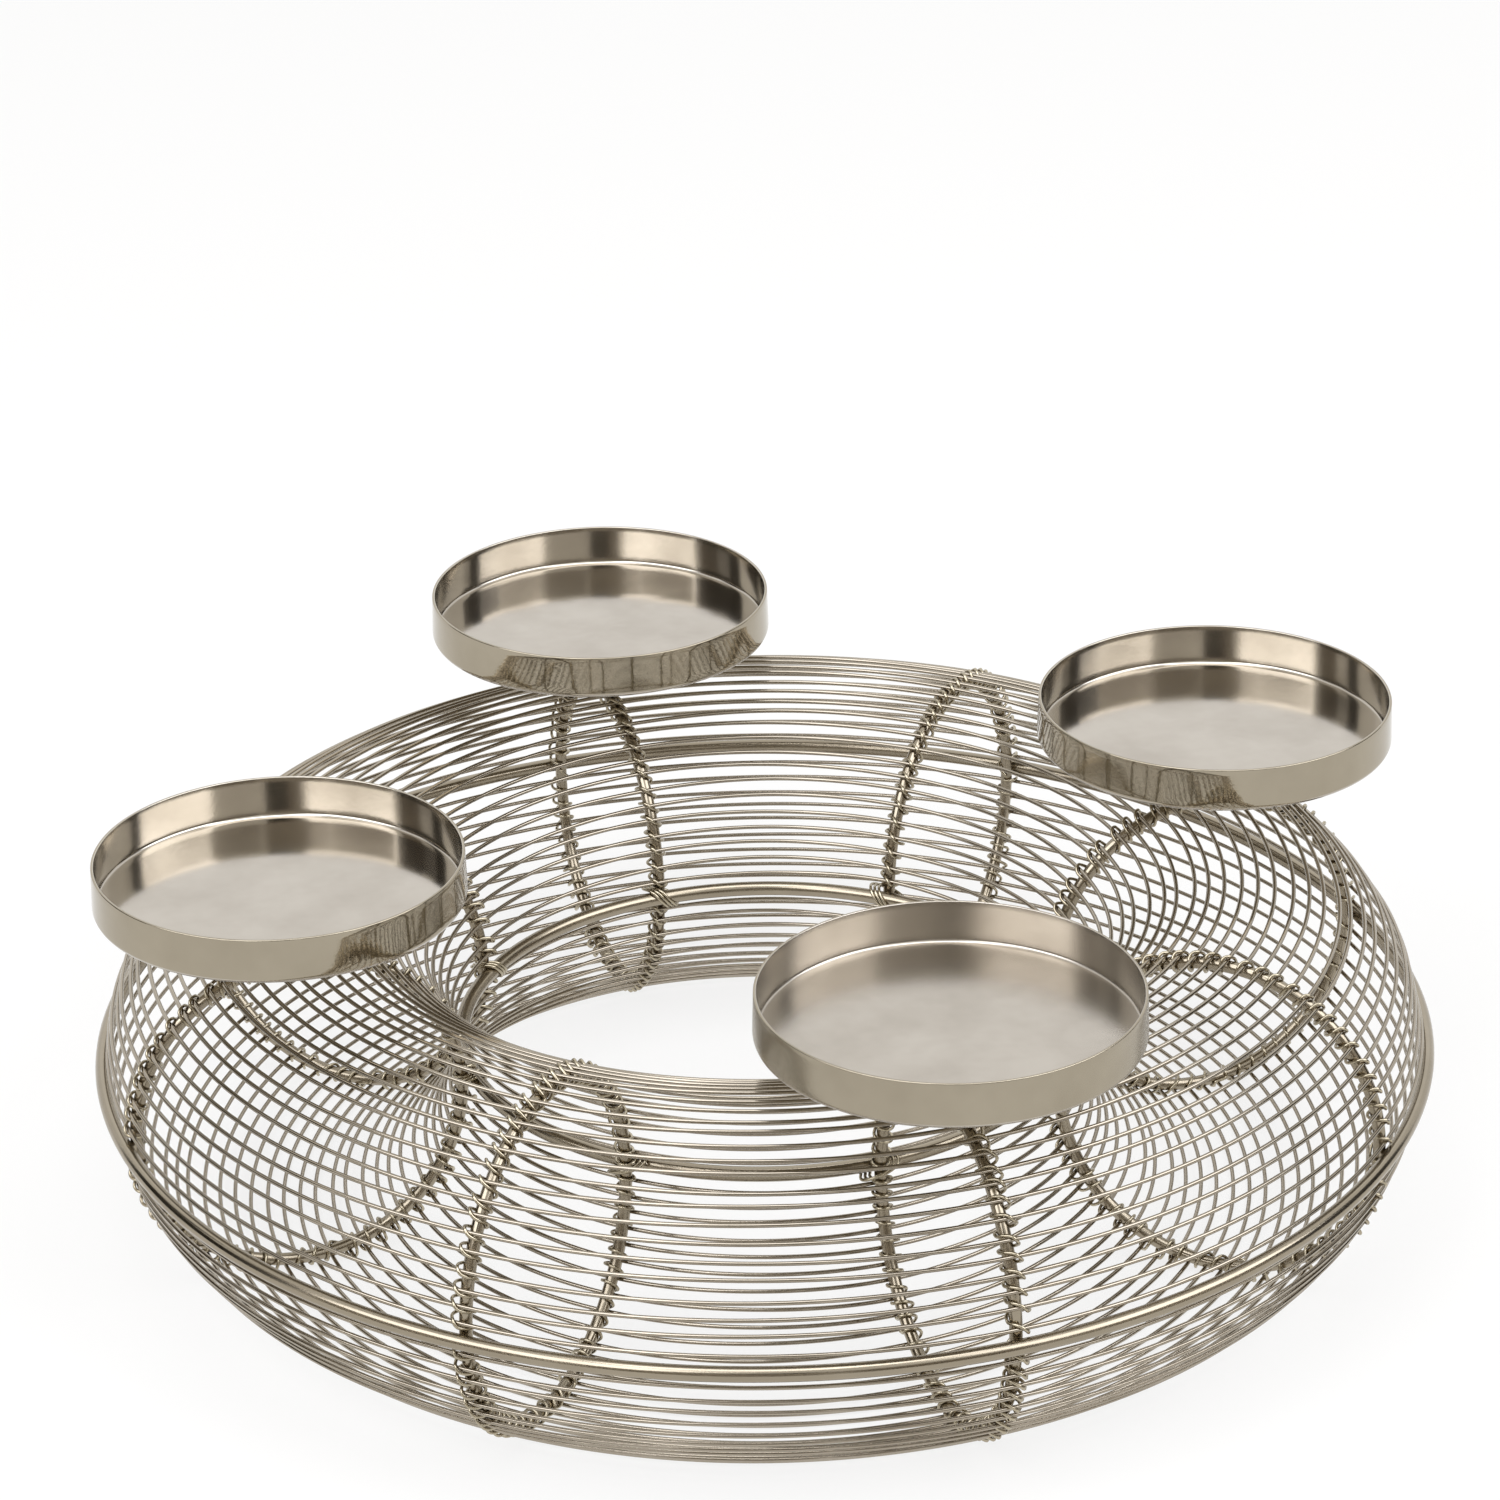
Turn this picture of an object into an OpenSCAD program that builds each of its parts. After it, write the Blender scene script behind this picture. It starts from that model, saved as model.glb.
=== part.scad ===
/* [Cage] */
// Radius of the circle that the middle of the cage's section runs on
cage_r = 148; // [135:1:170]
// Radius of each rib ring, to the middle of its wire
rib_ring_r = 50.5; // [46:0.5:56]
// Diameter of the rib wire
rib_d = 3.8; // [3:0.1:4.4]
// Diameter of the thin hoop wire
hoop_d = 1.3; // [1:0.1:1.6]
// Diameter of the two equator rods
equator_d = 4.6; // [3.6:0.1:5.4]

/* [Lashing] */
// Diameter of the binding wire
lash_d = 1; // [0.8:0.05:1.2]
// Clearance between the binding wire and what it binds
lash_gap = 0.12; // [0.08:0.01:0.3]

/* [Dishes] */
// Outer diameter of a candle dish
dish_d = 110; // [90:1:120]
// Height of a dish
dish_h = 14; // [10:0.5:20]
// Thickness of the sheet that a dish is pressed from
dish_sheet = 0.9; // [0.6:0.1:1.5]
// Radius of the bend between a dish's wall and its floor, outside
dish_bend_r = 2; // [2:0.5:6]
// Radius of the circle that the dish centres lie on
dish_circle_r = 150.5; // [140:0.5:170]

/* [Posts] */
// Diameter of the post under a dish
post_d = 12; // [9:0.5:13]
// Height of the post, from the crown of the cage to the dish
post_h = 17.5; // [8:0.5:25]
// Width of the chamfer at each end of a post
post_chamfer = 0.8; // [0.4:0.1:1.5]

/* [Hidden] */
// Gap that is left between wires that rest on each other
seat_gap = 0.1;
// How far a cut runs past what it cuts
overrun = 1;
// Facets on round shapes
round_fn = 72;
rod_fn = 24;
// Sides of the thin hoops' wire, few enough that sixty-four of them stay light
wire_fn = 12;

// Hoops are spaced evenly round the section and counted from the outer equator, upwards
hoops = 66;
ribs = 8;
dish_names = ["dish_front", "dish_right", "dish_back", "dish_left"];
post_names = ["post_front", "post_right", "post_back", "post_left"];
dish_angles = [-90, 0, 90, 180];
pairs = hoops / 2 - 1;

// Angle round the section from one hoop to the next
step_angle = 360 / hoops;
// Distance from the middle of the section to the middle of a hoop of diameter d
function hoop_reach(d) = rib_ring_r + rib_d / 2 + seat_gap + d / 2;
// The crown and the foot lie half-way between two hoops; the lowest two hoops touch the ground
centre_z = hoop_reach(hoop_d) * cos(step_angle / 2) + hoop_d / 2;
crown_z = 2 * centre_z;
post_z = crown_z + seat_gap;
dish_z = post_z + post_h + seat_gap;

// Hoops from one turn of a lashing to the next
turn_hoops = 3;
turns = hoops / turn_hoops;
points_per_turn = 6;
wire_r = lash_d / 2;
// Distance along the section from one hoop to the next
pitch = hoop_reach(hoop_d) * step_angle * PI / 180;
// Depth of a turn's inner pass, half the width of the turn and half the width of its passes
under_n = rib_d / 2 + wire_r + lash_gap;
side_t = under_n / cos(180 / points_per_turn);
pass_t = side_t / 2;
// Height of the points at the sides of a turn, as a share of the rib's radius
side_share = 0.25;
side_n = side_share * rib_d / 2;
// Angle by which a turn bends down at each side of the hoop that it crosses
wrap_angle = 74;
// Height of the outer pass, and how far along the section it reaches from the middle of a hoop of
// diameter d: to the bend over the hoop, and on to the side of the rib
function over_n(d) = rib_d / 2 + seat_gap + d + wire_r + lash_gap;
function bend_s(d) = (d / 2 + wire_r + lash_gap) * tan(wrap_angle / 2);
function side_s(d) = bend_s(d) + (over_n(d) - side_n) / tan(wrap_angle);
// Sides of the binding wire's tube
lash_sides = 4;

function is_rod(k) = k % (hoops / 2) == 0;
function hoop_size(k) = is_rod(k) ? equator_d : hoop_d;
// Near the crown and the foot a turn lies in the gap between two hoops, so that it doesn't stand proud
quarter = hoops / 4;
plain_reach = 2;
function from_quarter(k) = k < hoops / 2 ? k - quarter : k - 3 * quarter;
function is_plain(k) = abs(from_quarter(k)) < plain_reach;
// Middle of that gap, counted in hoops
function plain_place(k) = k - sign(from_quarter(k)) / 2;

// A point of the winding: s along the section in hoops, t across the rib, n outwards from the rib
function lash_point(s, t, n) = [s * step_angle, t, rib_ring_r + n];

// The six points of turn j, from one side over the hoop to the other, and back under the rib
function turn_points(j) =
    let (
        k = j * turn_hoops,
        plain = is_plain(k),
        s = plain ? plain_place(k) : k,
        d = hoop_size(k),
        bend = plain ? 0 : bend_s(d) / pitch,
        side = plain ? 0 : side_s(d) / pitch,
        over = plain ? under_n : over_n(d),
        far_side = s + turn_hoops - side_s(hoop_d) / pitch,
        under_step = (far_side - s - side) / 3
    )
    concat(
        [
            lash_point(s - side, side_t, side_n),
            lash_point(s - bend, pass_t, over),
            lash_point(s + bend, -pass_t, over),
            lash_point(s + side, -side_t, side_n)
        ],
        j == turns - 1 ? [] : [
            lash_point(s + side + under_step, -pass_t, -under_n),
            lash_point(far_side - under_step, pass_t, -under_n)
        ]
    );

lash_path = [for (j = [0:turns - 1]) each turn_points(j)];

// A winding point in the rib's own plane: x outwards from the cage's axis, y across the rib, z up
function placed(p) = [cage_r + p[2] * cos(p[0]), p[1], centre_z + p[2] * sin(p[0])];

lash_route = [for (p = lash_path) placed(p)];

function unit(v) = v / norm(v);
function tangent(path, i) =
    i == 0 ? unit(path[1] - path[0])
    : i == len(path) - 1 ? unit(path[i] - path[i - 1])
    : unit(unit(path[i] - path[i - 1]) + unit(path[i + 1] - path[i]));

// A frame is carried along the route without twist: each side vector is the last one, less its part
// along the wire
function side_vectors(path, i = 0, last = [0, 0, 1], out = []) =
    i == len(path) ? out
    : let (t = tangent(path, i), v = unit(last - t * (last * t)))
        side_vectors(path, i + 1, v, concat(out, [v]));

module tube(path, r, sides) {
    vectors = side_vectors(path);
    rings = [
        for (i = [0:len(path) - 1])
            let (t = tangent(path, i), u = vectors[i], w = cross(t, u))
                for (a = [0:sides - 1])
                    path[i] + r * (cos(a * 360 / sides) * u + sin(a * 360 / sides) * w)
    ];
    last = (len(path) - 1) * sides;
    faces = concat(
        [for (a = [1:sides - 2]) [0, a + 1, a]],
        [for (a = [1:sides - 2]) [last, last + a, last + a + 1]],
        [
            for (i = [0:len(path) - 2], a = [0:sides - 1])
                let (p = i * sides + a, q = i * sides + (a + 1) % sides)
                    each [[p, q, q + sides], [p, q + sides, p + sides]]
        ]
    );
    polyhedron(points = rings, faces = faces, convexity = 10);
}

// Least gap between a winding's turns, measured between the points of one turn and those of the next
lash_least_gap = min([
    for (i = [0:len(lash_route) - points_per_turn])
        for (j = [i + points_per_turn - 1:min(i + 2 * points_per_turn, len(lash_route) - 1)])
            norm(lash_route[i] - lash_route[j])
]) - lash_d;
echo(lash_least_gap = lash_least_gap);

module ring(r, d, sides) {
    rotate_extrude($fn = round_fn) translate([r, 0]) circle(d = d, $fn = sides);
}

module hoop(k) {
    d = hoop_size(k);
    a = k * step_angle;
    color("#b9b0a0")
        translate([0, 0, centre_z + hoop_reach(d) * sin(a)])
            ring(cage_r + hoop_reach(d) * cos(a), d, is_rod(k) ? rod_fn : wire_fn);
}

module hoop_pair(i) {
    hoop(i);
    hoop(hoops - i);
}

module rib(i) {
    color("#a89e8d")
        rotate([0, 0, (i - 1) * 360 / ribs])
            translate([cage_r, 0, centre_z])
                rotate([90, 0, 0])
                    ring(rib_ring_r, rib_d, rod_fn);
}

module lashing(i) {
    color("#8d826f")
        rotate([0, 0, (i - 1) * 360 / ribs])
            tube(lash_route, wire_r, lash_sides);
}

// Half of a dish's section: the sheet bent up round its edge, from the axis to the wall
module dish_section() {
    outer_r = dish_d / 2;
    inner_bend_r = dish_bend_r - dish_sheet;
    square([outer_r - dish_bend_r, dish_sheet]);
    translate([outer_r - dish_sheet, dish_bend_r]) square([dish_sheet, dish_h - dish_bend_r]);
    translate([outer_r - dish_bend_r, dish_bend_r])
        difference() {
            circle(r = dish_bend_r, $fn = round_fn);
            circle(r = inner_bend_r, $fn = round_fn);
            translate([-dish_bend_r - overrun, 0])
                square([2 * (dish_bend_r + overrun), dish_bend_r + overrun]);
            translate([-dish_bend_r - overrun, -dish_bend_r - overrun])
                square([dish_bend_r + overrun, dish_bend_r + 2 * overrun]);
        }
}

module dish(a) {
    color("#c3bcb0")
        rotate([0, 0, a])
            translate([dish_circle_r, 0, dish_z])
                rotate_extrude($fn = round_fn) dish_section();
}

module post(a) {
    color("#a89e8d")
        rotate([0, 0, a])
            translate([cage_r, 0, post_z])
                rotate_extrude($fn = round_fn)
                    polygon([
                        [0, 0],
                        [post_d / 2 - post_chamfer, 0],
                        [post_d / 2, post_chamfer],
                        [post_d / 2, post_h - post_chamfer],
                        [post_d / 2 - post_chamfer, post_h],
                        [0, post_h]
                    ]);
}

for (i = [0:len(dish_names) - 1]) {
    dish(dish_angles[i]);
    post(dish_angles[i]);
}
for (i = [1:ribs]) {
    rib(i);
    lashing(i);
}
hoop(0);  // outer_equator_hoop
hoop(hoops / 2);  // inner_equator_hoop
for (i = [1:pairs]) {
    hoop_pair(i);
}
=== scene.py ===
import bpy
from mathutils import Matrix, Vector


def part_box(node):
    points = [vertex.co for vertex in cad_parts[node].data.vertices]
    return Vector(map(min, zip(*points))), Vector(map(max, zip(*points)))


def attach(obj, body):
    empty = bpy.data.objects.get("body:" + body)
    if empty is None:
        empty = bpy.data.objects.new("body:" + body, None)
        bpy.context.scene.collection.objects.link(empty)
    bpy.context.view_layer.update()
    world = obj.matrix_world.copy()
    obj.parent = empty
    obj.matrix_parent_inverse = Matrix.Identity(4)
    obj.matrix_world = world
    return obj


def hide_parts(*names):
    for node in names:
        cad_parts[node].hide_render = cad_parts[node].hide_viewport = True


bl_info = {
    "name": "Advent Candle Ring",
    "version": (1, 0, 0),
    "blender": (4, 5, 0),
    "location": "3D View > Sidebar > Candle Ring",
    "description": "Wire cage ring with four nickel-plated candle dishes, dressed over its packed frame",
    "category": "Add Mesh",
}

import math

import bpy
import numpy as np
from bpy.props import (
    FloatProperty,
    IntProperty,
    PointerProperty,
    StringProperty,
)
from mathutils import Matrix, Vector

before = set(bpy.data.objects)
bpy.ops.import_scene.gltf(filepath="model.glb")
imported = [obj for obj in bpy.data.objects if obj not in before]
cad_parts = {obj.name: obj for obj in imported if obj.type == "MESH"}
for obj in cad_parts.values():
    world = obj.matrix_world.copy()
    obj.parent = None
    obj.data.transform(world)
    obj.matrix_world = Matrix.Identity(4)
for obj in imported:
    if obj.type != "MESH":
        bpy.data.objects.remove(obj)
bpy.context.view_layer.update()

MM = 0.001
RIBS = 8
# Thin hoops and the two rods, counted together
HOOPS = 66
# Dishes by the side of the ring that they stand on, and the ribs whose crown carries a post
SIDES = ("front", "right", "back", "left")
POSTED_RIBS = (1, 3, 5, 7)


# Sizes


rib_low, rib_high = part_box("rib_1")
rod_low, rod_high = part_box("outer_equator_hoop")
dish_low, dish_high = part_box("dish_right")


class CageSizes(bpy.types.PropertyGroup):
    """Sizes of the wire cage, read from the frame where it shows them"""

    ring_radius: FloatProperty(
        name="Ring radius", description="From the upright axis to the middle of the section",
        default=(rib_low.x + rib_high.x) / 2, unit="LENGTH",
    )
    middle: FloatProperty(
        name="Middle height", description="Height of the middle of the section",
        default=(rib_low.z + rib_high.z) / 2, unit="LENGTH",
    )
    rib_wire: FloatProperty(
        name="Rib wire", description="Diameter of the eight rib rings' wire",
        default=3.8 * MM, unit="LENGTH",
    )
    rib_reach: FloatProperty(
        name="Rib outside", description="From the middle of the section to the outside of a rib",
        default=(rib_high.z - rib_low.z) / 2, unit="LENGTH",
    )
    rod: FloatProperty(
        name="Equator rod", description="Diameter of the two thick hoops",
        default=rod_high.z - rod_low.z, unit="LENGTH",
    )
    hoop_wire: FloatProperty(
        name="Hoop wire", description="Diameter of the thin hoops' wire",
        default=1.3 * MM, unit="LENGTH",
    )
    seat: FloatProperty(
        name="Seat gap", description="Gap left between wires that rest on each other",
        default=0.1 * MM, unit="LENGTH",
    )
    stray: FloatProperty(
        name="Hoop stray", description="Farthest a hoop is tied from its even place, round the section",
        default=math.radians(0.9), subtype="ANGLE",
    )
    sway: FloatProperty(
        name="Hoop sway", description="Farthest a hoop wanders between two ribs, round the section",
        default=math.radians(0.5), subtype="ANGLE",
    )
    bow: FloatProperty(
        name="Hoop bow", description="Farthest a hoop bows in or out between two ribs",
        default=0.5 * MM, unit="LENGTH",
    )
    seed: IntProperty(name="Seed", description="Picks one cage of the many alike", default=7)


class LashingSizes(bpy.types.PropertyGroup):
    """Sizes of the binding wire"""

    wire: FloatProperty(
        name="Binding wire", description="Diameter of the binding wire",
        default=1.0 * MM, unit="LENGTH",
    )
    rod_step: FloatProperty(
        name="Rod turn step", description="From one turn on a thick hoop to the next",
        default=1.45 * MM, unit="LENGTH",
    )
    slack: FloatProperty(
        name="Loop slack", description="Farthest a side loop stands off the rib",
        default=0.9 * MM, unit="LENGTH",
    )
    rod_turns: IntProperty(
        name="Turns on a rod", description="Turns side by side where a rib crosses a thick hoop",
        default=3,
    )


class DishSizes(bpy.types.PropertyGroup):
    """Sizes of a candle dish"""

    radius: FloatProperty(
        name="Dish radius", description="Outside radius of a dish",
        default=(dish_high.y - dish_low.y) / 2, unit="LENGTH",
    )
    height: FloatProperty(
        name="Dish height", description="Height of a dish's wall",
        default=dish_high.z - dish_low.z, unit="LENGTH",
    )
    sheet: FloatProperty(
        name="Sheet", description="Thickness of the pressed sheet",
        default=0.9 * MM, unit="LENGTH",
    )
    bend: FloatProperty(
        name="Bend", description="Outside radius of the bend between wall and floor",
        default=2 * MM, unit="LENGTH",
    )
    edge: FloatProperty(
        name="Rim edge", description="Radius of the rounded edges of the rim",
        default=0.3 * MM, unit="LENGTH",
    )
    lean: FloatProperty(
        name="Wall lean", description="How far the pressed wall springs inwards at the rim",
        default=0.35 * MM, unit="LENGTH",
    )
    ripple: FloatProperty(
        name="Ripple", description="Height of the shallow waves that polishing leaves",
        default=0.05 * MM, unit="LENGTH",
    )


def linear(code):
    """An sRGB hex value as the linear colour that shaders take"""
    parts = [int(code[i:i + 2], 16) / 255 for i in (1, 3, 5)]
    return [p / 12.92 if p <= 0.04045 else ((p + 0.055) / 1.055) ** 2.4 for p in parts] + [1.0]


class FinishColours(bpy.types.PropertyGroup):
    """Colours of the plating, the floor and the studio's cards"""

    dish: StringProperty(
        name="Dish plate", description="Nickel plate on the dishes' floors, as hex", default="#bcb5aa"
    )
    # The inner wall's plate is the same nickel plate as the floor's, set lighter: painted light
    lining_painted_light: StringProperty(
        name="Dish lining plate", description="Nickel plate on the dishes' inner walls, as hex",
        default="#c5beb1",
    )
    # The outside's plate is the same nickel plate as the floor's, set darker: painted shade
    wall: StringProperty(
        name="Dish wall plate", description="Nickel plate outside the dishes, as hex", default="#a89f8d"
    )
    wire: StringProperty(
        name="Cage wire", description="Nickel plate on the thin hoops, as hex", default="#a79e8f"
    )
    rod: StringProperty(
        name="Rods and ribs", description="Nickel plate on the thick wires, as hex", default="#9f9583"
    )
    binding: StringProperty(
        name="Binding wire", description="Nickel plate on the binding wire, as hex", default="#b5ab95"
    )
    tarnish: StringProperty(
        name="Tarnish", description="Plate where it has dulled in patches, as hex", default="#756a58"
    )
    lamp: StringProperty(name="Lamp light", description="Light of the softboxes, as hex", default="#f3f6ff")
    floor: StringProperty(name="Floor", description="Floor and backdrop, as hex", default="#eeebe4")
    dark_card: StringProperty(
        name="Dark card", description="Card that leaves a dark streak, as hex", default="#37332d"
    )
    brown_card: StringProperty(
        name="Brown card", description="Card that leaves a soft dark streak, as hex", default="#8d857a"
    )
    grey_card: StringProperty(
        name="Grey card", description="Card that leaves a grey streak, as hex", default="#a59e93"
    )


def settings():
    """The scene's four sets of properties"""
    scene = bpy.context.scene
    return scene.cage_sizes, scene.lashing_sizes, scene.dish_sizes, scene.finish_colours


# Nodes and materials


def add_node(tree, kind, values=None, links=None):
    """Adds one node, with values for its own settings and its sockets, and links into its sockets"""
    node = tree.nodes.new(kind)
    for name, value in (values or {}).items():
        if name in node.inputs:
            node.inputs[name].default_value = value
        else:
            setattr(node, name, value)
    for name, source in (links or {}).items():
        tree.links.new(source, node.inputs[name])
    return node


def new_material(name):
    """An empty material and its node tree"""
    material = bpy.data.materials.new(name)
    material.use_nodes = True
    material.node_tree.nodes.clear()
    return material, material.node_tree


def in_millimetres(tree):
    """Place on an object, counted in millimetres"""
    place = add_node(tree, "ShaderNodeTexCoord")
    return add_node(
        tree, "ShaderNodeVectorMath", {"operation": "SCALE", "Scale": 1 / MM},
        {"Vector": place.outputs["Object"]},
    ).outputs["Vector"]


# Width of the soft patches in which nickel plate dulls, in millimetres, and the most tarnish in them
PATCH_WIDTH = 22
PATCH_TINT = 0.22
# Nickel plate by finish: name, which colour, roughness, how far the patches change it, grain width in
# millimetres and depth of the grain in metres. On the dishes the colour is also painted shade and
# painted light: the outside takes the darker colour, the inner wall the lighter one.
# The real grain of each is a few hundredths of a millimetre wide, and is drawn coarser so that it shows
PLATES = {
    # Drawn rod: blurred reflections with a bright stripe along the top
    "rod": ("Nickel-plated steel rod, drawn", "rod", 0.19, 0.04, 0.8, 0.00001),
    # Drawn wire: a thin bright line on each wire, sharper than on the rods
    "wire": ("Nickel-plated steel wire, drawn", "wire", 0.1, 0.03, 0.6, 0.000003),
    # Soft wire worked by pliers: small uneven glints
    "binding": ("Nickel-plated binding wire, soft", "binding", 0.16, 0.04, 0.5, 0.00002),
    # Polished outside of a dish: a clear mirror of the cage, in the darker colour that is painted shade
    "polished": ("Nickel plate, polished", "wall", 0.07, 0.015, 1.2, 0.00001),
    # Floor that candles have rubbed: a soft mirror of the wall, pale further in
    "rubbed": ("Nickel plate, polished and rubbed by candles", "dish", 0.12, 0.015, 1.2, 0.000005),
    # Inner wall, wiped by hand: soft-edged streaks, in the lighter colour that is painted light
    "wiped": ("Nickel plate, polished and wiped", "lining_painted_light", 0.15, 0.02, 1.2, 0.00001),
    # Brushed outside of the front dish: an even sheen and no mirrored wires, in the darker colour that is
    # painted shade
    "brushed": ("Nickel plate, brushed", "wall", 0.24, 0.03, 0.5, 0.00002),
    # Satin inside of the front dish, and the posts: a broad soft glow
    "satin": ("Nickel plate, satin", "dish", 0.24, 0.03, 0.5, 0.00002),
}


def nickel_plate(finish):
    """Nickel plate over steel: warm grey and mirror-like, duller in soft patches, with a fine grain"""
    name, colour, roughness, spread, grain, depth = PLATES[finish]
    colours = settings()[3]
    material, tree = new_material(name)
    place = in_millimetres(tree)
    patches = add_node(
        tree, "ShaderNodeTexNoise", {"Scale": 1 / PATCH_WIDTH, "Detail": 3.0, "Roughness": 0.55},
        {"Vector": place},
    )
    tint = add_node(tree, "ShaderNodeMix", {"data_type": "RGBA"})
    amount = add_node(
        tree, "ShaderNodeMapRange",
        {"From Min": 0.35, "From Max": 0.75, "To Min": 0.0, "To Max": PATCH_TINT},
        {"Value": patches.outputs["Fac"]},
    )
    tree.links.new(amount.outputs["Result"], tint.inputs["Factor"])
    # This node's colour sockets share their names with others, so they go by number
    tint.inputs[6].default_value = linear(getattr(colours, colour))
    tint.inputs[7].default_value = linear(colours.tarnish)
    fine = add_node(
        tree, "ShaderNodeTexNoise", {"Scale": 1 / grain, "Detail": 2.0, "Roughness": 0.5}, {"Vector": place}
    )
    gloss = add_node(
        tree, "ShaderNodeMapRange",
        {"From Min": 0.3, "From Max": 0.7, "To Min": roughness - spread, "To Max": roughness + spread},
        {"Value": patches.outputs["Fac"]},
    )
    bump = add_node(
        tree, "ShaderNodeBump", {"Strength": 1.0, "Distance": depth}, {"Height": fine.outputs["Fac"]}
    )
    metal = add_node(
        tree, "ShaderNodeBsdfPrincipled", {"Metallic": 1.0},
        {
            "Base Color": tint.outputs[2],
            "Roughness": gloss.outputs["Result"],
            "Normal": bump.outputs["Normal"],
        },
    )
    add_node(tree, "ShaderNodeOutputMaterial", {}, {"Surface": metal.outputs["BSDF"]})
    return material


# Mesh helpers


def smooth_path(points, steps, closed):
    """A curve through the points, with that many steps from each to the next"""
    points = np.asarray(points, float)
    if closed:
        padded = np.concatenate([points[-1:], points, points[:2]])
    else:
        padded = np.concatenate([2 * points[:1] - points[1:2], points, 2 * points[-1:] - points[-2:-1]])
    a, b, c, d = padded[:-3], padded[1:-2], padded[2:-1], padded[3:]
    share = (np.arange(steps) / steps)[None, :, None]
    a, b, c, d = (p[:, None, :] for p in (a, b, c, d))
    curve = 0.5 * (
        2 * b + (c - a) * share + (2 * a - 5 * b + 4 * c - d) * share**2
        + (3 * b - a - 3 * c + d) * share**3
    )
    curve = curve.reshape(-1, points.shape[1])
    return curve if closed else np.concatenate([curve, points[-1:]])


def unit(vectors):
    """Each vector at length one"""
    return vectors / np.linalg.norm(vectors, axis=-1, keepdims=True)


def directions(path, closed):
    """Which way a path runs at each of its points"""
    if closed:
        return unit(np.roll(path, -1, 0) - np.roll(path, 1, 0))
    return unit(np.gradient(path, axis=0))


def side_vectors(along):
    """A vector square to the path at each point, carried along it without twist"""
    start = np.cross(along[0], [0.0, 0.0, 1.0])
    side = unit(start if np.linalg.norm(start) > 0.1 else np.cross(along[0], [1.0, 0.0, 0.0]))
    sides = [side]
    for t in along[1:]:
        side = unit(side - t * (side @ t))
        sides.append(side)
    return np.array(sides)


def tube(path, wire, around, closed):
    """Corners and faces of a round wire along a path"""
    path = np.asarray(path, float)
    along = directions(path, closed)
    across = side_vectors(along)
    upward = np.cross(along, across)
    turn = np.linspace(0, 2 * math.pi, around, endpoint=False)[None, :, None]
    rings = path[:, None, :] + wire / 2 * (across[:, None] * np.cos(turn) + upward[:, None] * np.sin(turn))
    count = len(path)
    i = np.arange(count if closed else count - 1)[:, None]
    j = np.arange(around)[None, :]
    near, far, step = i * around, (i + 1) % count * around, (j + 1) % around
    faces = np.stack([near + j, near + step, far + step, far + j], -1).reshape(-1, 4).tolist()
    if not closed:
        faces += [list(range(around))[::-1], [(count - 1) * around + k for k in range(around)]]
    return rings.reshape(-1, 3), faces


def joined(bodies):
    """Several sets of corners and faces as one"""
    corners, faces = [], []
    for points, polygons in bodies:
        shift = sum(len(c) for c in corners)
        corners.append(points)
        faces += [[shift + v for v in p] for p in polygons]
    return np.concatenate(corners), faces


def add_piece(name, body, materials, slot, *nodes):
    """A smooth-shaded mesh that stands for the named nodes of the frame. A body may carry a number
    for each face, its place in the materials"""
    corners, faces, *which = body
    mesh = bpy.data.meshes.new(name)
    mesh.from_pydata(corners.tolist(), [], faces)
    mesh.validate()
    mesh.shade_smooth()
    for material in materials:
        mesh.materials.append(material)
    if which:
        mesh.polygons.foreach_set("material_index", which[0])
    piece = bpy.data.objects.new(name, mesh)
    bpy.context.scene.collection.objects.link(piece)
    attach(piece, "root")
    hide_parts(*nodes)


# The cage


# Hoops counted from the outer equator upwards: the crown and the foot lie between two of them
CROWN = HOOPS / 4
FOOT = 3 * HOOPS / 4
# How much of a hoop's stray differs from rib to rib, and how much is the same all the way round
TIED_SHARE = 0.8
DRIFT_SHARE = 0.4
# How far a hoop bows outwards at most, as a share of how far it bows inwards
OUT_BOW_SHARE = 0.6
# Steps from one knot of a hoop to the next, and round a rib
HOOP_STEPS = 18
RIB_STEPS = 240
# Sides of the round wires, and steps from one point of the binding wire to the next
ROD_SIDES = 20
HOOP_SIDES = 10
BINDING_SIDES = 8
BINDING_STEPS = 3


def is_rod(k):
    """Whether hoop k, counted from the outer equator upwards, is one of the two thick ones"""
    return k % (HOOPS // 2) == 0


def hoop_strays():
    """Angle and bow of every hoop at the eight ribs and half-way between them: how far hands and
    pliers left it from its even place. The hoops that the ring stands on stay where they are"""
    cage = settings()[0]
    draw = np.random.default_rng(cage.seed)
    knots = np.zeros((HOOPS, 2 * RIBS, 2))
    for k in range(HOOPS):
        tied = draw.uniform(-1, 1, RIBS) * cage.stray
        drift = draw.uniform(-1, 1) * cage.stray * DRIFT_SHARE
        sway = draw.uniform(-1, 1, RIBS) * cage.sway
        bow = draw.uniform(-1, OUT_BOW_SHARE, RIBS) * cage.bow
        if is_rod(k):
            continue
        free = min(1.0, max(0.0, abs(k - FOOT) - 1))
        tied = np.clip(tied * TIED_SHARE + drift, -cage.stray, cage.stray) * free
        knots[k, 0::2, 0] = tied
        knots[k, 1::2, 0] = (tied + np.roll(tied, -1)) / 2 + sway * free
        knots[k, 1::2, 1] = bow * free
    return knots


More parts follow.
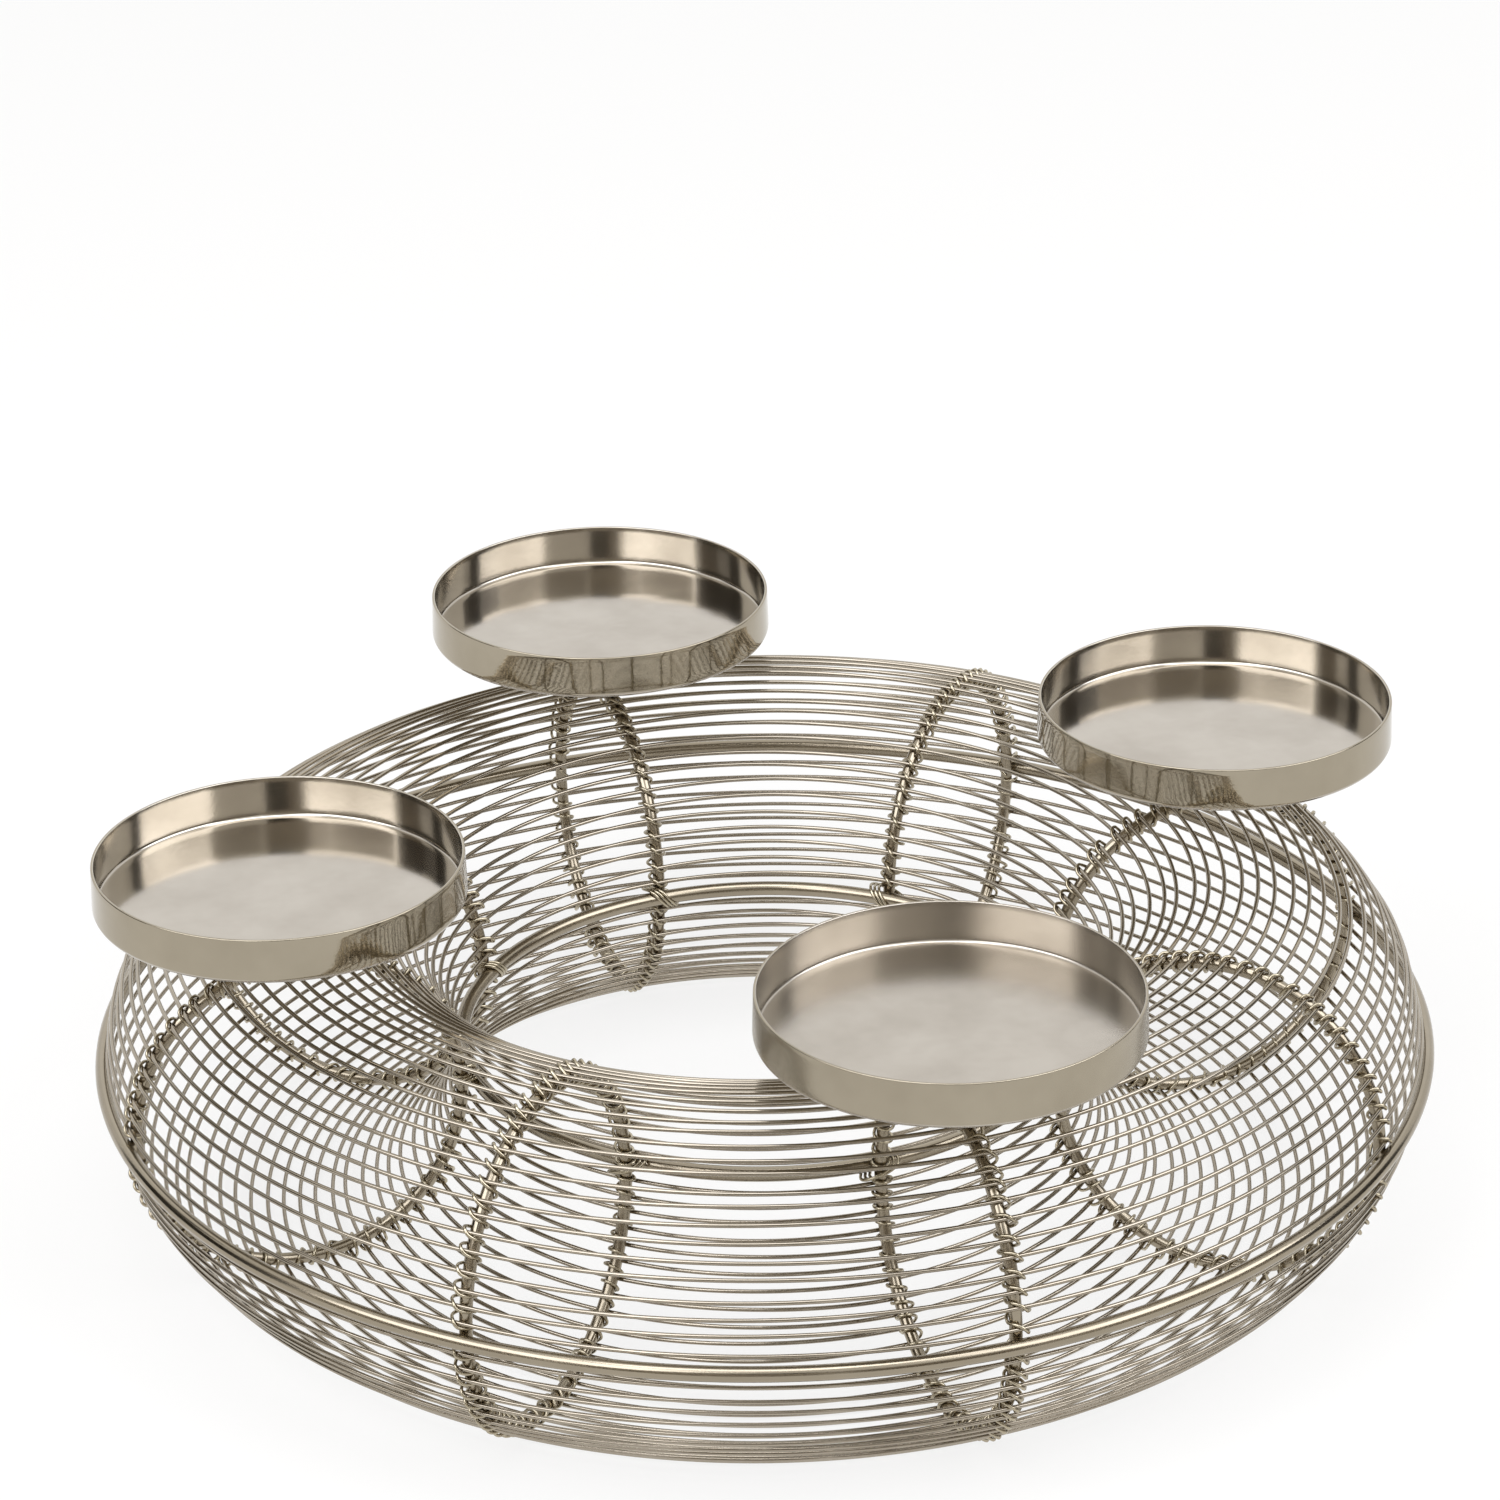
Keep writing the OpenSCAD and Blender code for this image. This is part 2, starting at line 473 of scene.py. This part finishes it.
def hoop_path(k, knots):
    """The middle of hoop k, all the way round"""
    cage = settings()[0]
    path = smooth_path(knots[k], HOOP_STEPS, True)
    round_angle = np.arange(len(path)) * 2 * math.pi / len(path)
    section_angle = 2 * math.pi * k / HOOPS + path[:, 0]
    wire = cage.rod if is_rod(k) else cage.hoop_wire
    reach = cage.rib_reach + cage.seat + wire / 2 + path[:, 1]
    outward = cage.ring_radius + reach * np.cos(section_angle)
    upward = cage.middle + reach * np.sin(section_angle)
    return np.stack([outward * np.cos(round_angle), outward * np.sin(round_angle), upward], -1)


def rib_path():
    """The middle of the first rib's wire"""
    cage = settings()[0]
    a = np.arange(RIB_STEPS) * 2 * math.pi / RIB_STEPS
    r = cage.rib_reach - cage.rib_wire / 2
    return np.stack([cage.ring_radius + r * np.cos(a), 0 * a, cage.middle + r * np.sin(a)], -1)


def turned(points, angle):
    """Points turned about the upright axis"""
    c, s = math.cos(angle), math.sin(angle)
    return np.asarray(points) @ np.array([[c, s, 0], [-s, c, 0], [0, 0, 1]])


# The lashings


# Farthest a point of the binding wire is off its place, in millimetres, as pliers leave it
UNEVEN = 0.05
# Turns of the binding wire as points, in millimetres: t across the rib, s along it from the hoop's
# middle, n outwards from the rib's middle. Over a thin hoop the wire comes up beside the rib, lies
# across it, drops over the hoop and leaves a round loop on the other side
OVER_THIN = (
    (-2.45, 1.55, 0.7), (-1.35, 1.5, 2.2), (0.35, 0.95, 3.52), (1.45, 0.0, 3.98),
    (2.3, -1.02, 3.4), (2.85, -1.45, 1.8), (2.8, -1.75, -0.2),
)
# First point of that loop
LOOP_START = 5
# The way back under the rib, with s as a share of the way to the next turn
BACK_UNDER = ((1.75, 0.12, -2.0), (-0.2, 0.3, -2.6), (-2.05, 0.52, -1.65), (-2.6, 0.78, -0.2))
OVER_ROD = (
    (-2.75, 2.5, 0.4), (-2.6, 2.85, 2.4), (-2.1, 3.0, 4.3), (-1.4, 2.3, 6.1), (0.0, 0.0, 7.05),
    (1.4, -2.3, 6.1), (2.1, -3.0, 4.3), (2.6, -2.85, 2.4), (2.75, -2.5, 0.4),
)
UNDER_ROD = ((2.05, -1.6, -1.75), (0.0, 0.0, -2.65), (-2.05, 1.6, -1.75))
ROD_SIDE = 2.75
# A turn in the gap between two hoops, where one over a hoop would stand in the way of the table or
# of a post, with s as a share of the gap
PLAIN_TURN = (
    (-2.5, -0.41, 0.2), (-1.75, -0.44, 1.8), (0.0, -0.5, 2.5), (1.75, -0.56, 1.8), (2.5, -0.59, 0.2),
    (1.8, -0.74, -1.8), (0.0, -0.95, -2.55), (-1.8, -1.17, -1.8),
)
# The wire's first end, tucked in under the rib where it passes the outer rod, which stays bare
TAIL = ((1.2, 6.2, -2.45), (-0.6, 4.0, -2.6), (-2.15, 2.45, -1.65))


def lashing_route(rib, knots):
    """The binding wire's middle, from the first hoop past the outer rod all the way round its rib to
    the last one before that rod: t, section angle and n"""
    cage, lashing, _, _ = settings()
    draw = np.random.default_rng(cage.seed * 100 + rib)
    way = 1 if rib % 2 else -1
    reach = cage.rib_reach / MM
    turn_step = lashing.rod_step / MM
    route = []

    def hoop(j):
        return -way * j % HOOPS

    def angle(j):
        return -way * j * 2 * math.pi / HOOPS + knots[hoop(j), 2 * (rib - 1), 0]

    def put(j, t, s, n, jitter=0.0):
        t, s, n = (v + draw.uniform(-1, 1) * jitter for v in (t, s, n))
        route.append((way * t, angle(j) + way * s / reach, n))

    def is_plain(j):
        return abs(hoop(j) - FOOT) < 2 or (rib in POSTED_RIBS and abs(hoop(j) - CROWN) < 1)

    for point in TAIL:
        put(1, *point)
    for j in range(1, HOOPS):
        gap = abs(angle(j + 1) - angle(j)) * reach
        if is_plain(j):
            for t, s, n in PLAIN_TURN if is_plain(j + 1) else ():
                put(j, t, s * gap, n)
            continue
        if is_rod(hoop(j)):
            for m in range(lashing.rod_turns):
                left, right = -m, lashing.rod_turns - 1 - m
                for i, (t, s, n) in enumerate(OVER_ROD + UNDER_ROD):
                    if i >= len(OVER_ROD):
                        left = -m - 1
                    if i < len(OVER_ROD) or m < lashing.rod_turns - 1:
                        share = (t / ROD_SIDE + 1) / 2
                        put(j, t + turn_step * (left * (1 - share) + right * share), s, n)
            last = OVER_ROD[-1][1]
        else:
            loose = draw.uniform(0, 1) ** 2 * lashing.slack / MM
            for i, (t, s, n) in enumerate(OVER_THIN):
                put(j, t + (loose if i >= LOOP_START else 0.0), s, n, UNEVEN)
            last = OVER_THIN[-1][1]
        coming = (OVER_ROD if is_rod(hoop(j + 1)) else OVER_THIN)[0][1]
        for t, share, n in BACK_UNDER if j < HOOPS - 1 else BACK_UNDER[:2]:
            put(j, t, last + share * (coming - gap - last), n, UNEVEN)
    return np.array(route)


def lashing_body(rib, knots):
    """Corners and faces of one lashing, in place on its rib"""
    cage, lashing, _, _ = settings()
    t, angle, n = smooth_path(lashing_route(rib, knots), BINDING_STEPS, False).T
    r = cage.rib_reach - cage.rib_wire / 2 + n * MM
    path = np.stack([cage.ring_radius + r * np.cos(angle), t * MM, cage.middle + r * np.sin(angle)], -1)
    return tube(turned(path, (rib - 1) * 2 * math.pi / RIBS), lashing.wire, BINDING_SIDES, False)


# The dishes


# Steps round a dish, and points of its section: across the floor, up the wall, round the bend inside
# and outside, round each edge of the rim, and across below
DISH_STEPS = 192
FLOOR_POINTS = 22
WALL_POINTS = 8
INNER_BEND_POINTS = 10
OUTER_BEND_POINTS = 12
EDGE_POINTS = 5
UNDER_POINTS = 12
# Waves that make up the ripple, fewest and most crests that one has round a dish, and the seed that the
# first dish draws them from
RIPPLE_WAVES = 6
FEWEST_ROUND = 2
MOST_ROUND = 6
DISH_SEED = 50


def dish_profile():
    """Half of a dish's section, from the middle of its upper face, round the rim, to the middle below:
    distance from the axis and height"""
    dish = settings()[2]
    outer, top, sheet, bend, edge = dish.radius, dish.height, dish.sheet, dish.bend, dish.edge
    inner_bend = bend - sheet

    def arc(cx, cz, r, start, end, count):
        a = np.radians(np.linspace(start, end, count))
        return [(cx + r * math.cos(x), cz + r * math.sin(x)) for x in a]

    floor_end = outer - bend
    upper = [(r, sheet) for r in np.linspace(0.0, floor_end, FLOOR_POINTS)[1:-1]]
    wall_in = [(outer - sheet, z) for z in np.linspace(bend, top - edge, WALL_POINTS)[1:-1]]
    wall_out = [(outer, z) for z in np.linspace(top - edge, bend, WALL_POINTS)[1:-1]]
    lower = [(r, 0.0) for r in np.linspace(floor_end, 0.0, UNDER_POINTS)[1:-1]]
    return (
        upper
        + arc(floor_end, bend, inner_bend, -90, 0, INNER_BEND_POINTS)
        + wall_in
        + arc(outer - sheet + edge, top - edge, edge, 180, 90, EDGE_POINTS)
        + arc(outer - edge, top - edge, edge, 90, 0, EDGE_POINTS)
        + wall_out
        + arc(floor_end, bend, bend, 0, -90, OUTER_BEND_POINTS)
        + lower
    )


def dish_body(side, order):
    """Corners and faces of one dish, spun from its section and rippled a little by polishing, and for
    each face which of its three plates it has: 0 outside and below, 1 the floor, 2 the inner wall"""
    dish = settings()[2]
    low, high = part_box("dish_" + side)
    centre = np.array([(low.x + high.x) / 2, (low.y + high.y) / 2, low.z])
    profile = np.array(dish_profile())
    around = DISH_STEPS
    a = np.arange(around) * 2 * math.pi / around
    draw = np.random.default_rng(DISH_SEED + order)
    # How many times each wave goes up and down round the dish, where it starts and how strong it is
    waves = [
        (
            draw.integers(FEWEST_ROUND, MOST_ROUND + 1),
            draw.uniform(0, 2 * math.pi),
            draw.uniform(0.3, 1.0),
        )
        for _ in range(RIPPLE_WAVES)
    ]
    r, z = profile[:, 0][:, None], profile[:, 1][:, None]
    out_share = r / dish.radius
    # Each wave starts from nothing in the middle and twists as it runs outwards
    ripple = sum(
        w * np.cos(m * a[None, :] + p + out_share * (2 + i)) * np.sin(math.pi * out_share * (1 + i / 2)) ** 2
        for i, (m, p, w) in enumerate(waves)
    ) * dish.ripple / 3
    wall = r > dish.radius - dish.bend
    lean = dish.lean * np.clip(z - dish.bend, 0, None) / (dish.height - dish.bend)
    outward = np.where(wall, -np.abs(ripple) / 2 - lean, 0.0)
    upward = np.where(wall, 0.0, np.abs(ripple) * (z > dish.sheet / 2))
    x, y = (r + outward) * np.cos(a), (r + outward) * np.sin(a)
    rings = np.stack([x, y, z + upward + 0 * x], -1).reshape(-1, 3)
    count = len(profile)
    i = np.arange(count - 1)[:, None]
    j = np.arange(around)[None, :]
    step = (j + 1) % around
    faces = np.stack(
        [i * around + j, i * around + step, (i + 1) * around + step, (i + 1) * around + j], -1
    ).reshape(-1, 4).tolist()
    top, bottom = len(rings), len(rings) + 1
    tips = np.array([[0.0, 0.0, dish.sheet], [0.0, 0.0, 0.0]])
    last = (count - 1) * around
    faces += [[top, (k + 1) % around, k] for k in range(around)]
    faces += [[bottom, last + k, last + (k + 1) % around] for k in range(around)]
    faces = [face[::-1] for face in faces]
    corners = np.concatenate([rings, tips])
    height, reach = corners[:, 2], np.hypot(corners[:, 0], corners[:, 1])
    # Inside is nearer the axis than the middle of the wall's sheet; the floor ends half a sheet up the bend
    inside = reach < dish.radius - dish.sheet / 2 - dish.lean * height / dish.height
    floor_top = dish.sheet * 1.5
    # Plate 0 is set darker than the floor's plate as painted shade, and plate 2 lighter as painted light
    plate = [
        2 if inside[face[0]] and height[face[0]] > floor_top
        else int(dish.sheet / 2 < height[face[0]] <= floor_top)
        for face in faces
    ]
    return corners + centre, faces, plate


# Operators


class CANDLERING_OT_ribs(bpy.types.Operator):
    """Bends the eight rib rings and the two equator rods"""

    bl_idname = "candlering.ribs"
    bl_label = "Ribs and Rods"

    def execute(self, context):
        cage = settings()[0]
        metal = nickel_plate("rod")
        for i in range(1, RIBS + 1):
            path = turned(rib_path(), (i - 1) * 2 * math.pi / RIBS)
            body = tube(path, cage.rib_wire, ROD_SIDES, True)
            add_piece(f"rib_ring_{i}", body, [metal], "cage_wire", f"rib_{i}")
        still = np.zeros((HOOPS, 2 * RIBS, 2))
        for k, name in ((0, "outer_equator_hoop"), (HOOPS // 2, "inner_equator_hoop")):
            body = tube(hoop_path(k, still), cage.rod, ROD_SIDES, True)
            add_piece(name.replace("hoop", "rod"), body, [metal], "cage_wire", name)
        return {"FINISHED"}


class CANDLERING_OT_hoops(bpy.types.Operator):
    """Lays the sixty-four thin hoops round the ribs, each a little off its even place"""

    bl_idname = "candlering.hoops"
    bl_label = "Thin Hoops"

    def execute(self, context):
        cage = settings()[0]
        metal = nickel_plate("wire")
        knots = hoop_strays()
        for i in range(1, HOOPS // 2):
            pair = joined(
                [tube(hoop_path(k, knots), cage.hoop_wire, HOOP_SIDES, True) for k in (i, HOOPS - i)]
            )
            add_piece(f"thin_hoops_{i}", pair, [metal], "cage_wire", f"hoop_pair_{i}")
        return {"FINISHED"}


class CANDLERING_OT_lashings(bpy.types.Operator):
    """Winds a binding wire round each rib, one turn to a thin hoop"""

    bl_idname = "candlering.lashings"
    bl_label = "Lashings"

    def execute(self, context):
        metal = nickel_plate("binding")
        knots = hoop_strays()
        for i in range(1, RIBS + 1):
            add_piece(f"binding_{i}", lashing_body(i, knots), [metal], "binding_wire", f"lashing_{i}")
        return {"FINISHED"}


class CANDLERING_OT_dishes(bpy.types.Operator):
    """Presses the four candle dishes and stands them on their posts"""

    bl_idname = "candlering.dishes"
    bl_label = "Dishes and Posts"

    def execute(self, context):
        polished, rubbed, wiped, brushed, satin = (
            nickel_plate(finish) for finish in ("polished", "rubbed", "wiped", "brushed", "satin")
        )
        for order, side in enumerate(SIDES):
            # Outside darker than the floor as painted shade; inner wall lighter as painted light, except on
            # the front dish
            plates = [brushed, satin, satin] if side == "front" else [polished, rubbed, wiped]
            add_piece("candle_dish_" + side, dish_body(side, order), plates, "dish_plate", "dish_" + side)
            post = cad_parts["post_" + side]
            post.data.materials.clear()
            post.data.materials.append(satin)
        return {"FINISHED"}


class CANDLERING_OT_studio(bpy.types.Operator):
    """Sets the pale floor, the soft lamps, the dark cards and the camera"""

    bl_idname = "candlering.studio"
    bl_label = "Studio"

    def execute(self, context):
        set_world()
        add_floor()
        for lamp in LAMPS:
            add_lamp(*lamp)
        for card in CARDS:
            add_card(*card)
        add_camera()
        context.scene.view_settings.view_transform = "Standard"
        return {"FINISHED"}


# The studio

# The photograph's view: degrees round and above the ring and of roll, metres from the aim, and lens and
# sensor in millimetres
CAMERA_AROUND = -109.94
CAMERA_ABOVE = 25.024
CAMERA_ROLL = -0.878
CAMERA_DISTANCE = 1.53967
CAMERA_LENS = 122.869
CAMERA_SENSOR = 36.0
# Nearest and farthest that the camera sees, in metres
CLIP_NEAR = 0.05
CLIP_FAR = 50.0
# How far above the middle of the cage the camera aims, and how far to the left of it, in metres
AIM_ABOVE = 0.0931
AIM_SIDEWAYS = 0.00307

WHITE = (1.0, 1.0, 1.0, 1.0)
# Strength of the world's light, and how white the floor is to the camera and the metal
WORLD_LIGHT = 0.45
FLOOR_WHITE = 0.8
# Width of the floor, and how far it lies below the lowest hoops, in metres
FLOOR_WIDTH = 12.0
FLOOR_DROP = 0.2 * MM
# Height of the point that lamps and cards face, in metres
FACED_HEIGHT = 0.07

# Softboxes: name, degrees round and above the ring, distance, width, height, watts
LAMPS = (
    ("softbox_overhead", -100, 78, 1.9, 1.3, 0.8, 11),
    ("softbox_left", -158, 38, 1.9, 1.8, 1.6, 27),
    ("softbox_right", -37, 38, 1.9, 1.8, 1.6, 27),
    ("softbox_back", 70, 36, 2.2, 2.6, 1.3, 2),
)
# Cards that only reflections see: name, degrees round and above, distance, width, height, which card
CARDS = (
    ("card_low_1", -8, 12.4, 1.54, 1.0, 0.8, "dark_card"),
    ("card_low_2", -47, 12.4, 1.54, 1.1, 0.8, "grey_card"),
    ("card_low_3", -84, 12.4, 1.54, 0.8, 0.8, "brown_card"),
    ("card_low_4", -121, 12.4, 1.54, 1.1, 0.8, "grey_card"),
    ("card_low_5", -163, 12.4, 1.54, 1.1, 0.8, "grey_card"),
    ("card_low_6", -209, 12.4, 1.54, 1.2, 0.8, "dark_card"),
    ("card_camera", -110, 22, 2.2, 0.5, 1.2, "dark_card"),
    ("card_beside_camera", -120, 21, 2.3, 0.35, 1.3, "brown_card"),
    ("card_right", -3, 20, 2.2, 0.4, 1.5, "dark_card"),
    ("card_left", 160, 20, 2.2, 0.6, 1.5, "brown_card"),
    ("card_far_left", 134, 20, 2.2, 0.4, 1.5, "dark_card"),
)


def direction(around, above):
    """Unit vector that far round from +X and that far above the floor, in degrees"""
    a, e = math.radians(around), math.radians(above)
    return Vector((math.cos(e) * math.cos(a), math.cos(e) * math.sin(a), math.sin(e)))


def seen_share(tree, share):
    """A share for rays from the camera and rays that metal throws on, and 0 for light itself"""
    ray = add_node(tree, "ShaderNodeLightPath").outputs
    seen = ray["Is Camera Ray"]
    for kind in ("Is Glossy Ray", "Is Transmission Ray"):
        either = add_node(tree, "ShaderNodeMath", {"operation": "MAXIMUM"})
        tree.links.new(seen, either.inputs[0])
        tree.links.new(ray[kind], either.inputs[1])
        seen = either.outputs[0]
    shared = add_node(tree, "ShaderNodeMath", {"operation": "MULTIPLY"})
    tree.links.new(seen, shared.inputs[0])
    shared.inputs[1].default_value = share
    return shared.outputs[0]


def set_world():
    """White where it is seen, and a soft even light elsewhere"""
    world = bpy.data.worlds.new("Studio")
    bpy.context.scene.world = world
    world.use_nodes = True
    tree = world.node_tree
    tree.nodes.clear()
    light = add_node(tree, "ShaderNodeBackground", {"Color": WHITE, "Strength": WORLD_LIGHT})
    seen = add_node(tree, "ShaderNodeBackground", {"Color": WHITE, "Strength": 1.0})
    mix = add_node(tree, "ShaderNodeMixShader", {}, {"Fac": seen_share(tree, 1.0)})
    tree.links.new(light.outputs[0], mix.inputs[1])
    tree.links.new(seen.outputs[0], mix.inputs[2])
    add_node(tree, "ShaderNodeOutputWorld", {}, {"Surface": mix.outputs[0]})


def flat_panel(name, width, height, material):
    """A flat stage panel, facing along its own +Z"""
    x, y = width / 2, height / 2
    mesh = bpy.data.meshes.new(name)
    mesh.from_pydata([(-x, -y, 0), (x, -y, 0), (x, y, 0), (-x, y, 0)], [], [(0, 1, 2, 3)])
    mesh.materials.append(material)
    panel = bpy.data.objects.new(name, mesh)
    bpy.context.scene.collection.objects.link(panel)
    return panel


def add_floor():
    """Matt pale floor: it keeps the ring's shadow, and the camera and the metal see it near white"""
    finish = settings()[3]
    # Matt white paint: an even pale ground without gloss
    material, tree = new_material("White paint, matt")
    paint = add_node(tree, "ShaderNodeBsdfDiffuse", {"Color": linear(finish.floor), "Roughness": 0.6})
    white = add_node(tree, "ShaderNodeEmission", {"Color": WHITE, "Strength": 1.0})
    mix = add_node(tree, "ShaderNodeMixShader", {}, {"Fac": seen_share(tree, FLOOR_WHITE)})
    tree.links.new(paint.outputs[0], mix.inputs[1])
    tree.links.new(white.outputs[0], mix.inputs[2])
    add_node(tree, "ShaderNodeOutputMaterial", {}, {"Surface": mix.outputs[0]})
    floor = flat_panel("studio_floor", FLOOR_WIDTH, FLOOR_WIDTH, material)
    floor.location = (0, 0, -FLOOR_DROP)


def face_ring(panel, around, above, distance):
    """Stands a panel or lamp off the ring in a direction, facing it"""
    away = direction(around, above)
    panel.location = away * distance + Vector((0, 0, FACED_HEIGHT))
    panel.rotation_mode = "QUATERNION"
    panel.rotation_quaternion = away.to_track_quat("Z", "Y")


def add_lamp(name, around, above, distance, width, height, watts):
    """One softbox"""
    data = bpy.data.lights.new(name, "AREA")
    data.shape = "RECTANGLE"
    data.size, data.size_y, data.energy = width, height, watts
    data.color = linear(settings()[3].lamp)[:3]
    lamp = bpy.data.objects.new(name, data)
    bpy.context.scene.collection.objects.link(lamp)
    face_ring(lamp, around, above, distance)


def add_card(name, around, above, distance, width, height, card_colour):
    """One card, which metal reflects and nothing else sees"""
    finish = settings()[3]
    # Pressed felt: an even dull patch in the metal
    material, tree = new_material("Felt, " + card_colour.replace("_", " "))
    felt = add_node(tree, "ShaderNodeBsdfDiffuse", {"Color": linear(getattr(finish, card_colour))})
    add_node(tree, "ShaderNodeOutputMaterial", {}, {"Surface": felt.outputs[0]})
    card = flat_panel(name, width, height, material)
    face_ring(card, around, above, distance)
    card.visible_camera = False
    card.visible_diffuse = False
    card.visible_shadow = False


def add_camera():
    """The photograph's camera"""
    data = bpy.data.cameras.new("Camera")
    data.sensor_width, data.lens = CAMERA_SENSOR, CAMERA_LENS
    data.clip_start, data.clip_end = CLIP_NEAR, CLIP_FAR
    camera = bpy.data.objects.new("Camera", data)
    bpy.context.scene.collection.objects.link(camera)
    away = direction(CAMERA_AROUND, CAMERA_ABOVE)
    around, roll = math.radians(CAMERA_AROUND), math.radians(CAMERA_ROLL)
    level = Vector((-math.sin(around), math.cos(around), 0.0))
    upright = away.cross(level)
    c, s = math.cos(roll), math.sin(roll)
    right = c * level + s * upright
    up = c * upright - s * level
    aim = Vector((0, 0, AIM_ABOVE + settings()[0].middle)) - right * AIM_SIDEWAYS
    place = Matrix((right, up, away)).transposed().to_4x4()
    place.translation = aim + away * CAMERA_DISTANCE
    camera.matrix_world = place
    bpy.context.scene.camera = camera


# Panel and registration


PIECES = ("ribs", "hoops", "lashings", "dishes", "studio")


class CANDLERING_PT_panel(bpy.types.Panel):
    """Lists the candle ring's pieces and sizes"""

    bl_idname = "CANDLERING_PT_panel"
    bl_label = "Candle Ring"
    bl_space_type = "VIEW_3D"
    bl_region_type = "UI"
    bl_category = "Candle Ring"

    def draw(self, context):
        for piece in PIECES:
            self.layout.operator("candlering." + piece)
        for group in settings():
            box = self.layout.box()
            for name in group.bl_rna.properties.keys():
                if name not in ("rna_type", "name"):
                    box.prop(group, name)


PROPERTY_GROUPS = {
    "cage_sizes": CageSizes,
    "lashing_sizes": LashingSizes,
    "dish_sizes": DishSizes,
    "finish_colours": FinishColours,
}
CLASSES = (
    *PROPERTY_GROUPS.values(),
    CANDLERING_OT_ribs,
    CANDLERING_OT_hoops,
    CANDLERING_OT_lashings,
    CANDLERING_OT_dishes,
    CANDLERING_OT_studio,
    CANDLERING_PT_panel,
)


def register():
    """Registers the classes and hangs the sizes and colours on the scene"""
    for cls in CLASSES:
        bpy.utils.register_class(cls)
    for name, group in PROPERTY_GROUPS.items():
        setattr(bpy.types.Scene, name, PointerProperty(type=group))


def unregister():
    """Takes them off again"""
    for name in PROPERTY_GROUPS:
        delattr(bpy.types.Scene, name)
    for cls in reversed(CLASSES):
        bpy.utils.unregister_class(cls)


def main():
    register()
    for piece in PIECES:
        getattr(bpy.ops.candlering, piece)()
    bpy.context.view_layer.update()


if __name__ == "__main__":
    main()
